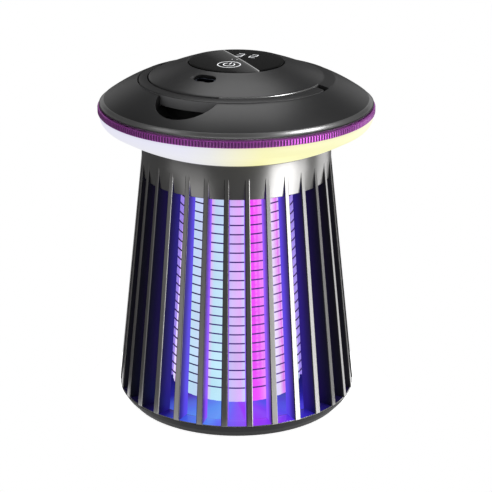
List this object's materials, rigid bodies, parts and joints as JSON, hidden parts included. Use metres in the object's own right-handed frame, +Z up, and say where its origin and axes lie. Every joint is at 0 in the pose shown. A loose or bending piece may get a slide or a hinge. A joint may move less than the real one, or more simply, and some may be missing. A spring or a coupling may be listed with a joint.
{
  "type": "electric bug zapper",
  "caption": "Rechargeable table insect zapper: domed head with night-light diffuser, fold-up handle, bladed conical grille round a wired light guide, pull-off tray.",
  "frame": {"origin": "centre of the footprint, on the surface the lamp stands on", "axes": "+Z up along the lamp's axis; -Y is the front, with the charging socket and the finger scoop; +X to the right seen from the front"},
  "size_m": [0.12, 0.12, 0.1553],
  "materials": {
    "satin_black_shell": "satin",
    "grille_plastic": "satin metallic",
    "purple_trim": "satin metallic",
    "milky_diffuser": "translucent, lit from inside",
    "lit_guide": "translucent, lit from inside",
    "grid_wire": "drawn wire",
    "insulator": "matte",
    "lens_glass": "polished",
    "tray_plastic": "polished",
    "pad_rubber": "matte",
    "white_plastic": "matte",
    "circuit_board": "solder mask",
    "lamp_dies": "clear resin",
    "uv_dies": "clear resin",
    "steel": "plated",
    "brass_pin": "machined",
    "cell_wrap": "shrink wrap",
    "coil_copper": "enamelled winding",
    "potting": "cast resin",
    "digit_block": "smooth",
    "clear_pin": "clear"
  },
  "bodies": {
    "lamp": {"grille_collar": "grille_plastic", "grille_fins": "grille_plastic", "grille_foot_ring": "grille_plastic", "light_guide": "lit_guide", "guide_end_cap": "lit_guide", "grid_top_plate": "insulator", "grid_ribs": "insulator", "grid_wires_live": "grid_wire", "grid_wires_return": "grid_wire", "grid_terminals": "brass_pin", "uv_led_board": "white_plastic", "uv_leds": "uv_dies", "hv_module": "potting", "lamp_chassis": "white_plastic", "diffuser": "milky_diffuser", "trim_ring": "purple_trim", "night_led_board": "white_plastic", "night_leds": "lamp_dies", "upper_cover": "satin_black_shell", "cover_screws": "steel", "display_lens": "lens_glass", "display_board": "circuit_board", "digit_module": "digit_block", "touch_spring": "steel", "usb_socket": "steel", "charge_board": "circuit_board", "status_light": "clear_pin", "battery_cell": "cell_wrap", "battery_cradle": "insulator", "main_board": "circuit_board", "boost_coil": "coil_copper", "handle_pins": "steel"},
    "handle": {"carry_handle": "satin_black_shell"},
    "tray": {"insect_tray": "tray_plastic", "tray_feet": "pad_rubber"}
  },
  "joints": [
    {"name": "handle_fold", "type": "hinge", "parent": "lamp", "child": "handle", "pos_m": [0, 0, 0.145], "axis": [-1, 0, 0], "range_deg": [0, 90]},
    {"name": "tray_pull", "type": "slide", "parent": "lamp", "child": "tray", "axis": [0, 0, -1], "range_m": [0, 0.02]}
  ]
}
